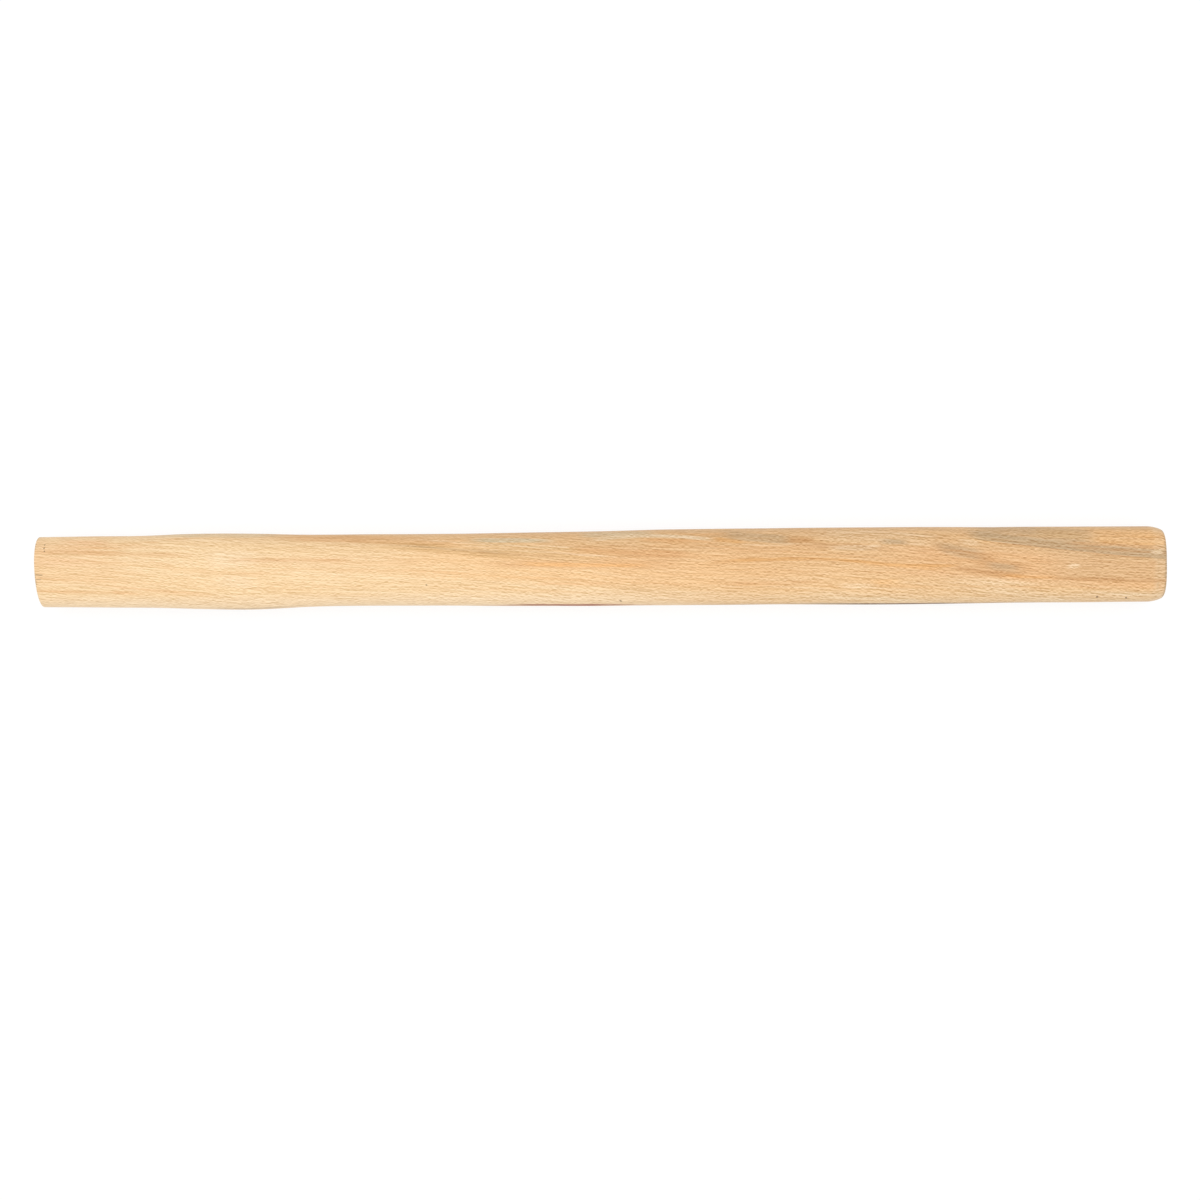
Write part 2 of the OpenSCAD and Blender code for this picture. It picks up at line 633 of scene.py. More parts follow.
    def ring_lines(self, sheet: NodeSheet, ring: Socket) -> Socket:
        """Draw the dark line that ends each growth ring.

        Args:
            sheet: Sheet to draw on.
            ring: Place along the rings, across the rays and along the rays.

        Returns:
            Socket of the mask, from 0 to 1.
        """
        _, tangent, radial = sheet.split(ring)
        reach = sheet.total(radial, self.pith_distance)
        squares = sheet.total(sheet.product(tangent, tangent), sheet.product(reach, reach))
        uneven = sheet.sway(sheet.noise(ring, (85.0, 11.0, 11.0), 2.0), 1.6)
        count = sheet.math("DIVIDE", sheet.total(sheet.math("SQRT", squares), uneven), self.ring_width)
        early = sheet.math("FRACT", count)
        number = sheet.math("FLOOR", count)
        chance = sheet.add("ShaderNodeTexWhiteNoise", noise_dimensions="1D")
        sheet.feed(chance.inputs["W"], number)
        line = sheet.product(sheet.step(early, 0.7, 0.94), sheet.step(early, 0.94, 1.0, 1.0, 0.0))
        return sheet.product(line, sheet.math("MULTIPLY_ADD", chance.outputs["Value"], 0.8, 0.2))

    def end_grain(self, sheet: NodeSheet, colour: Socket, grain: Socket, lines: Socket) -> Socket:
        """Show the rings, rays and pores of a cut across the grain.

        Args:
            sheet: Sheet to draw on.
            colour: Broad colour of the wood.
            grain: Place along the grain, across the rays and along the rays.
            lines: Mask of the lines that end the rings.

        Returns:
            The colour's socket.
        """
        pores = sheet.noise(grain, (9.0, 0.2, 0.2), 1.0)
        rays = sheet.noise(grain, (30.0, 0.2, 5.0), 0.0)
        colour = sheet.tint(sheet.product(lines, 0.8), colour, self.fibre_shade, "MULTIPLY")
        colour = sheet.tint(sheet.step(pores, 0.35, 0.7, 0.75, 0.25), colour, self.fibre_shade, "MULTIPLY")
        return sheet.tint(sheet.step(rays, 0.52, 0.68, 0.0, 0.4), colour, linear(self.cream))

    def ground(self, sheet: NodeSheet, x: Socket, across: Socket, broad: Socket) -> Socket:
        """Lay the wood's broad colours.

        Args:
            sheet: Sheet to draw on.
            x: Place along the handle.
            across: Place across the handle.
            broad: Soft noise along the grain.

        Returns:
            The colour's socket.
        """
        colour = sheet.tint(sheet.step(x, self.darkens, self.length), linear(self.pale), linear(self.tan))
        edge = sheet.math("MULTIPLY_ADD", x, self.heart_slope, self.heart_edge)
        heart = sheet.step(sheet.math("SUBTRACT", across, edge), -self.heart_soft, self.heart_soft)
        colour = sheet.tint(sheet.product(heart, 0.9), colour, linear(self.heart))
        share = sheet.step(x, 150.0, 300.0, 0.6, 1.3)
        warm = sheet.product(sheet.step(broad, 0.45, 0.68, 0.0, 0.35), share)
        colour = sheet.tint(warm, colour, linear(self.warm))
        clear = sheet.step(heart, 0.0, 0.7, 0.85, 0.25)
        light = sheet.product(sheet.step(broad, 0.3, 0.5, 0.5, 0.0), clear, share)
        return sheet.tint(light, colour, linear(self.cream))

    def stain(self, sheet: NodeSheet, colour: Socket, spot: Socket, stray: Socket, thread: Socket) -> Socket:
        """Lay the streaks, stains and spots, and the strips of painted shade and sheen along the edges.

        Args:
            sheet: Sheet to draw on.
            colour: Colour beneath them.
            spot: Place on the handle.
            stray: How far ragged fibres shift them across.
            thread: Noise of the fibres that break them up.

        Returns:
            The colour's socket.
        """
        group = StreakGroup().tree
        x, y, z = sheet.split(spot)
        under = sheet.product(z, -1.0)
        front = sheet.product(y, -1.0)
        sides = {Side.UPPER: (y, z), Side.FRONT: (z, front), Side.UNDER: (y, under)}
        for streak in self.streaks:
            across, height = sides[streak.side]
            node = sheet.place(
                group, x, across, height, stray, thread, *streak.along, *streak.across, streak.bow,
                streak.half_width, *streak.edges, streak.fade, streak.deepest, streak.fray)
            factor = sheet.product(node.outputs["Mask"], streak.strength)
            colour = sheet.tint(factor, colour, linear(streak.tone.value))
        return colour


class Cut(Enum):
    """How a face lies to the grain."""

    LONG_GRAIN = "beech_long_grain"
    END_GRAIN = "beech_end_grain"


@dataclass(frozen=True)
class BeechFinish:
    """Bare, fine-sanded beech.

    Attributes:
        figure: The wood's figure group.
        cut: How the finished faces lie to the grain.
        roughness: Mean roughness.
        relief: Strength of the fibre's relief.
        roughness_swing: How far the fibre changes the roughness.
        saw_mark: Size of a saw mark in millimetres.
        saw_shade: Share of light that the darkest saw mark leaves.
        saw_contrast: How much more the lightest one leaves.
        saw_depth: Depth of a saw mark in millimetres.
    """

    figure: bpy.types.NodeTree
    cut: Cut
    roughness: float
    relief: float
    roughness_swing: float = 0.16
    saw_mark: Sizes = (5.0, 26.0, 0.55)
    saw_shade: float = 0.72
    saw_contrast: float = 0.3
    saw_depth: float = 0.16

    def material(self) -> bpy.types.Material:
        """Build the material.

        Returns:
            The finished material.
        """
        material = bpy.data.materials.new(self.cut.value)
        sheet = NodeSheet.cleared(material)
        place = sheet.add("ShaderNodeTexCoord").outputs["Object"]
        wood = sheet.place(self.figure, place).outputs
        colour = wood["Colour"]
        height = wood["Height"]
        if self.cut is Cut.END_GRAIN:
            colour, height = self.saw(sheet, place, wood["End Colour"], height)
        shader = sheet.add("ShaderNodeBsdfPrincipled")
        smoothest = self.roughness - self.roughness_swing / 2
        rough = sheet.math("MULTIPLY_ADD", wood["Fibre"], self.roughness_swing, smoothest)
        bump = sheet.add("ShaderNodeBump")
        bump.inputs["Strength"].default_value = self.relief
        bump.inputs["Distance"].default_value = MM
        sheet.feed(bump.inputs["Height"], height)
        sheet.feed(shader.inputs["Base Color"], colour)
        sheet.feed(shader.inputs["Roughness"], rough)
        sheet.feed(shader.inputs["Normal"], bump.outputs[0])
        shader.inputs["IOR"].default_value = 1.48
        shader.inputs["Specular IOR Level"].default_value = 0.3
        sheet.add("ShaderNodeOutputMaterial", shader.outputs[0])
        return material

    def saw(self, sheet: NodeSheet, place: Socket, colour: Socket, height: Socket) -> tuple[Socket, Socket]:
        """Mark cut fibre ends with the saw.

        Args:
            sheet: Sheet to draw on.
            place: Place in metres.
            colour: Colour of the wood.
            height: Its relief in millimetres.

        Returns:
            The changed colour and relief.
        """
        spot = sheet.stretch(place, (MM, MM, MM))
        marks = sheet.noise(spot, self.saw_mark, 2.0)
        shade = sheet.math("MULTIPLY_ADD", marks, self.saw_contrast, self.saw_shade)
        colour = sheet.tint(1.0, colour, shade, "MULTIPLY")
        return colour, sheet.math("MULTIPLY_ADD", marks, self.saw_depth, height)


@dataclass(frozen=True)
class Section:
    """One oval section of the handle.

    Attributes:
        place: Its place from the head end.
        width: Its width across the broad faces.
        thickness: Its thickness.
        shift: How far hand shaping left its middle off the axis.
    """

    place: float
    width: float
    thickness: float
    shift: float = 0.0


@dataclass
class Handle:
    """The handle: one length of beech, shaped, sanded and sawn off at the head end. Sizes are in metres.

    Attributes:
        length: Length from the head end to the butt.
        sections: Sections that set the shape, from the head end to the butt.
        squareness: Roundness exponent of the oval at the head end and at the butt.
        cut_angle: Angle of the saw cut, away from square.
        lean_length: Length over which the rings of the mesh lean to that angle.
        saw_waste: Wood beyond the head end that the saw takes off.
        rounding_length: Length over which the edge of the butt is rounded off.
        rounding_depth: Depth to which it is rounded off.
        arris: Small flat that takes the sharp edge off the butt face.
        sides: Number of sides of the mesh.
        rings: Number of rings cut into the billet.
        rounding_steps: Number of steps in the rounded edge of the butt.
        edge_break: Width to which the sharp edge of the saw cut is broken.
        end_rings: Number of rings in each end face.
        end_ring_width: Width of such a ring.
        sanding_size: Size of the unevenness that hand sanding leaves.
        sanding_depth: Depth of that unevenness.
        streaks: Streaks, stains and spots in the wood, and strips of painted shade and sheen along the
            edges.
        ON_CUT: Distance from the saw cut within which a point lies on it.
        END_FACING: Share of a face's normal along X above which it is an end face.
        SMOOTH_BELOW: Angle between two faces below which their shading runs smoothly.
    """

    length: float
    sections: tuple[Section, ...]
    squareness: tuple[float, float] = (2.1, 3.0)
    cut_angle: float = math.radians(3)
    lean_length: float = 0.036
    saw_waste: float = 0.004
    rounding_length: float = 0.005
    rounding_depth: float = 0.001
    arris: float = 0.0003
    sides: int = 112
    rings: int = 170
    rounding_steps: int = 7
    edge_break: float = 0.0002
    end_rings: int = 3
    end_ring_width: float = 0.0018
    sanding_size: float = 0.035
    sanding_depth: float = 0.0003
    streaks: tuple[Streak, ...] = ()

    ON_CUT = 1e-5
    END_FACING = 0.9
    SMOOTH_BELOW = math.radians(32)

    def size_at(self, x: float) -> tuple[float, float, float]:
        """Run a smooth curve through the sections near a place.

        Args:
            x: Place from the head end.

        Returns:
            Width, thickness and shift there.
        """
        last = len(self.sections) - 1
        k = next((i for i in range(1, last) if x < self.sections[i].place), last)
        near = [self.sections[min(last, max(0, i))] for i in range(k - 2, k + 2)]
        places = [section.place for section in near]
        t = min(1.0, max(0.0, (x - places[1]) / (places[2] - places[1])))
        columns = zip(*((section.width, section.thickness, section.shift) for section in near))
        return tuple(smooth(places, column, t) for column in columns)

    def inset_at(self, x: float) -> float:
        """Give how far the rounded edge of the butt draws the surface in.

        Args:
            x: Place from the head end.

        Returns:
            Depth below the full section.
        """
        start = self.length - self.rounding_length
        flat = self.length - self.arris
        round_t = min(1.0, max(0.0, (x - start) / (flat - start)))
        flat_t = max(0.0, (x - flat) / self.arris)
        return self.rounding_depth * round_t * round_t + self.arris * flat_t

    def surface(self, billet: Vector) -> Vector:
        """Move a point of the round billet onto the handle.

        Args:
            billet: Point on the billet, whose radius is 1.

        Returns:
            The point on the handle.
        """
        width, thickness, shift = self.size_at(billet.x)
        inset = self.inset_at(billet.x)
        exponent = 2 / mix(*self.squareness, max(0.0, billet.x / self.length))
        across = (width / 2 - inset) * signed_power(billet.y, exponent) + shift
        height = (thickness / 2 - inset) * signed_power(billet.z, exponent)
        lean = 1 - ease(min(1.0, max(0.0, billet.x / self.lean_length)))
        return Vector((billet.x - across * math.tan(self.cut_angle) * lean, across, height))

    def build(self) -> bpy.types.Object:
        """Model the handle.

        Returns:
            The finished object, with no material yet.
        """
        piece = self.billet()
        self.cut_rings(piece)
        self.shape(piece)
        self.saw_head_end(piece)
        self.relieve_ends(piece)
        self.sand(piece)
        return piece

    def billet(self) -> bpy.types.Object:
        """Add the round billet along X.

        Returns:
            The billet, with its place in its mesh.
        """
        stock = self.length + self.saw_waste
        bpy.ops.object.select_all(action="DESELECT")
        bpy.ops.mesh.primitive_cylinder_add(
            vertices=self.sides, radius=1.0, depth=stock, end_fill_type="NGON",
            location=(self.length - stock / 2, 0.0, 0.0), rotation=(0.0, math.pi / 2, 0.0))
        piece = bpy.context.active_object
        piece.name = "handle_wood"
        piece.data.name = "handle_wood"
        bpy.ops.object.transform_apply(location=True, rotation=True, scale=True)
        return piece

    def select_edges(self, piece: bpy.types.Object, wanted: Callable[[bmesh.types.BMEdge], bool]) -> None:
        """Select the edges that pass a test, and nothing else.

        Args:
            piece: Object in edit mode.
            wanted: Test of an edge.
        """
        bpy.ops.mesh.select_mode(type="EDGE")
        bpy.ops.mesh.select_all(action="DESELECT")
        mesh = bmesh.from_edit_mesh(piece.data)
        for edge in mesh.edges:
            edge.select_set(wanted(edge))
        bmesh.update_edit_mesh(piece.data)

    def cut_rings(self, piece: bpy.types.Object) -> None:
        """Cut even rings along the billet, and closer ones where the butt is rounded.

        Args:
            piece: The billet.
        """
        bpy.ops.object.mode_set(mode="EDIT")
        self.select_edges(piece, lambda edge: abs(edge.verts[0].co.x - edge.verts[1].co.x) > MM)
        bpy.ops.mesh.subdivide(number_cuts=self.rings)
        start = self.length - self.rounding_length
        flat = self.length - self.arris
        for k in range(self.rounding_steps + 1):
            place = mix(start, flat, k / self.rounding_steps)
            bpy.ops.mesh.select_all(action="SELECT")
            bpy.ops.mesh.bisect(plane_co=(place, 0.0, 0.0), plane_no=(1.0, 0.0, 0.0))
        bpy.ops.object.mode_set(mode="OBJECT")

    def shape(self, piece: bpy.types.Object) -> None:
        """Move every point of the billet onto the handle's surface."""
        for vertex in piece.data.vertices:
            vertex.co = self.surface(vertex.co)

    def saw_head_end(self, piece: bpy.types.Object) -> None:
        """Saw the head end off at its angle and break the sharp edge that the saw leaves.

        Args:
            piece: The shaped handle.
        """
        bpy.ops.object.mode_set(mode="EDIT")
        bpy.ops.mesh.select_all(action="SELECT")
        normal = (math.cos(self.cut_angle), math.sin(self.cut_angle), 0.0)
        bpy.ops.mesh.bisect(plane_co=(0.0, 0.0, 0.0), plane_no=normal, use_fill=True, clear_inner=True)
        self.select_edges(piece, self.on_saw_cut)
        bpy.ops.mesh.bevel(offset=self.edge_break, segments=2, affect="EDGES")
        bpy.ops.object.mode_set(mode="OBJECT")

    def on_saw_cut(self, edge: bmesh.types.BMEdge) -> bool:
        """Tell whether both ends of an edge lie on the saw cut."""
        slope = math.tan(self.cut_angle)
        return all(abs(v.co.x + v.co.y * slope) < self.ON_CUT for v in edge.verts)

    def relieve_ends(self, piece: bpy.types.Object) -> None:
        """Inset the two end faces, so that they have rings of their own.

        Args:
            piece: The shaped handle.
        """
        bpy.ops.object.mode_set(mode="EDIT")
        bpy.ops.mesh.select_mode(type="FACE")
        bpy.ops.mesh.select_all(action="DESELECT")
        mesh = bmesh.from_edit_mesh(piece.data)
        for face in mesh.faces:
            face.select_set(len(face.verts) > 4)
        bmesh.update_edit_mesh(piece.data)
        for _ in range(self.end_rings):
            bpy.ops.mesh.inset(thickness=self.end_ring_width)
        bpy.ops.object.mode_set(mode="OBJECT")

    def sand(self, piece: bpy.types.Object) -> None:
        """Leave the slight unevenness of hand sanding, and smooth the shading.

        Args:
            piece: The shaped handle.
        """
        unevenness = bpy.data.textures.new("hand_sanding", "CLOUDS")
        unevenness.noise_scale = self.sanding_size
        unevenness.noise_depth = 1
        modifier = piece.modifiers.new("hand_sanding", "DISPLACE")
        modifier.texture = unevenness
        modifier.texture_coords = "LOCAL"
        modifier.mid_level = 0.5
        modifier.strength = self.sanding_depth
        bpy.ops.object.select_all(action="DESELECT")
        piece.select_set(True)
        bpy.context.view_layer.objects.active = piece
        bpy.ops.object.modifier_apply(modifier=modifier.name)
        bpy.ops.object.shade_smooth_by_angle(angle=self.SMOOTH_BELOW)

    def dress(self, piece: bpy.types.Object) -> None:
        """Give the handle its wood.

        Args:
            piece: The modelled handle.
        """
        figure = BeechFigure(length=self.length / MM, streaks=self.streaks).group()
        piece.data.materials.clear()
        sanded = BeechFinish(figure, Cut.LONG_GRAIN, roughness=0.5, relief=0.6)
        sawn = BeechFinish(figure, Cut.END_GRAIN, roughness=0.75, relief=0.9)
        for finish in (sanded, sawn):
            piece.data.materials.append(finish.material())
        for face in piece.data.polygons:
            face.material_index = 1 if abs(face.normal.x) > self.END_FACING else 0


@dataclass(frozen=True)
class SoftLamp:
    """A square softbox that points at the handle. Sizes are in metres.

    Attributes:
        name: Name of the lamp.
        place: Where it hangs.
        size: Width and height.
        power: Power in watts.
    """

    name: str
    place: tuple[float, float, float]
    size: tuple[float, float]
    power: float

    def hang(self, target: Vector) -> None:
        """Hang the lamp and point it.

        Args:
            target: Point that it faces.
        """
        lamp = bpy.data.lights.new(self.name, "AREA")
        lamp.shape = "RECTANGLE"
        lamp.size, lamp.size_y = self.size
        lamp.energy = self.power
        stand = bpy.data.objects.new(self.name, lamp)
        stand.location = self.place
        stand.rotation_euler = (target - Vector(self.place)).to_track_quat("-Z", "Y").to_euler()
        bpy.context.scene.collection.objects.link(stand)


@dataclass(frozen=True)
class Studio:
    """White studio round the handle, and the camera straight above it. Sizes are in metres.

    Attributes:
        middle: Middle of the handle's axis.
        floor_height: Height of the floor.
        camera_place: Where the camera hangs, from that middle.
        camera_roll: Turn of the camera about its line of sight.
        field: Width of the picture at the middle plane.
        floor_size: Width of the floor.
        paper: Share of light that the floor gives back.
        glow: Strength of the white that is seen on it.
        near_glow: Share of that white beside the handle, where the rest takes shadow.
        glow_span: Distances from the handle between which that share rises to 1.
        room_light: Strength of the room's light on the handle.
        lamps: Softboxes.
    """

    middle: Vector
    floor_height: float
    camera_place: Vector = Vector((-0.00025, -0.01135, 0.615))
    camera_roll: float = math.radians(-0.415)
    field: float = 0.430
    floor_size: float = 8.0
    paper: float = 0.9
    glow: float = 1.03
    near_glow: float = 0.8
    glow_span: tuple[float, float] = (0.3, 0.9)
    room_light: float = 0.768
    lamps: tuple[SoftLamp, ...] = (
        SoftLamp("low_softbox", (0.1, -1.1, 0.55), (1.4, 0.7), 1.2),
        SoftLamp("overhead_softbox", (0.2, 0.1, 1.5), (1.4, 1.4), 12.0),
    )

    def set_up(self) -> None:
        """Build the floor, light and camera."""
        self.floor()
        self.world()
        for lamp in self.lamps:
            lamp.hang(self.middle)
        self.camera()
        bpy.context.scene.view_settings.view_transform = "Standard"

    def floor(self) -> None:
        """Lay a white floor that still takes the handle's shadow."""
        bpy.ops.object.select_all(action="DESELECT")
        location = (self.middle.x, self.middle.y, self.floor_height)
        bpy.ops.mesh.primitive_plane_add(size=self.floor_size, location=location)
        floor = bpy.context.active_object
        floor.name = "studio_floor"
        bpy.ops.object.transform_apply(location=True, rotation=True, scale=True)
        material = bpy.data.materials.new("white_floor")
        sheet = NodeSheet.cleared(material)
        paper = sheet.add("ShaderNodeBsdfDiffuse")
        paper.inputs["Color"].default_value = (self.paper, self.paper, self.paper, 1.0)
        glow = sheet.add("ShaderNodeEmission")
        glow.inputs["Strength"].default_value = self.glow
        place = sheet.add("ShaderNodeTexCoord").outputs["Object"]
        away = sheet.add("ShaderNodeVectorMath", place, self.middle, operation="DISTANCE")
        share = sheet.step(away.outputs["Value"], *self.glow_span, self.near_glow, 1.0)
        factor = sheet.product(self.seen(sheet), share)
        both = sheet.add("ShaderNodeMixShader", factor, paper.outputs[0], glow.outputs[0])
        sheet.add("ShaderNodeOutputMaterial", both.outputs[0])
        floor.data.materials.append(material)
        floor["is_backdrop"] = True

    def world(self) -> None:
        """Light the room softly, and show it white."""
        world = bpy.data.worlds.new("white_room")
        bpy.context.scene.world = world
        sheet = NodeSheet.cleared(world)
        room = sheet.add("ShaderNodeBackground")
        room.inputs["Color"].default_value = (1.0, 1.0, 1.0, 1.0)
        strength = sheet.math("MULTIPLY_ADD", self.seen(sheet), 1 - self.room_light, self.room_light)
        sheet.feed(room.inputs["Strength"], strength)
        sheet.add("ShaderNodeOutputWorld", room.outputs[0])

    @staticmethod
    def seen(sheet: NodeSheet) -> Socket:
        """Pick the rays that show the background, straight or by way of a shine or of glass.

        Args:
            sheet: Sheet to draw on.

        Returns:
            Socket of 1 for those rays and 0 for the ones that light the handle.
        """
        rays = sheet.add("ShaderNodeLightPath").outputs
        shown = sheet.math("MAXIMUM", rays["Is Camera Ray"], rays["Is Glossy Ray"])
        return sheet.math("MAXIMUM", shown, rays["Is Transmission Ray"])

    def camera(self) -> None:
        """Hang the camera above the handle."""
        lens = bpy.data.cameras.new("photo_camera")
        lens.sensor_width = 36.0
        lens.lens = lens.sensor_width * self.camera_place.z / self.field
        camera = bpy.data.objects.new("photo_camera", lens)
        camera.location = self.middle + self.camera_place
        camera.rotation_euler = (0.0, 0.0, self.camera_roll)
        bpy.context.scene.collection.objects.link(camera)
        bpy.context.scene.camera = camera


HANDLE_SECTIONS = (
    Section(0.0, 0.0252, 0.018, 0.00007),
    Section(0.018, 0.02553, 0.01825, 0.00005),
    Section(0.038, 0.02593, 0.0185, -0.00005),
    Section(0.050, 0.02675, 0.0191),
    Section(0.061, 0.02715, 0.0195, -0.0001),
    Section(0.073, 0.0272, 0.0196, -0.0003),
    Section(0.082, 0.02685, 0.0193, -0.00028),
    Section(0.093, 0.026, 0.0187, -0.00015),
    Section(0.104, 0.02558, 0.0183, -0.00003),
    Section(0.116, 0.0255, 0.0182, -0.00002),
    Section(0.140, 0.02565, 0.0184, -0.00012),
    Section(0.178, 0.0264, 0.0196, -0.00015),
    Section(0.200, 0.02685, 0.0201, -0.00008),
    Section(0.222, 0.02715, 0.0205, 0.00012),
    Section(0.243, 0.02738, 0.0207, 0.0002),
    Section(0.265, 0.02735, 0.0208, 0.00024),
    Section(0.290, 0.0276, 0.021, 0.00013),
    Section(0.318, 0.02752, 0.0209, 0.00015),
    Section(0.345, 0.0272, 0.0207, 0.00018),
    Section(0.372, 0.02705, 0.02055, 0.00012),
    Section(0.400, 0.0269, 0.0204, 0.0001),
)

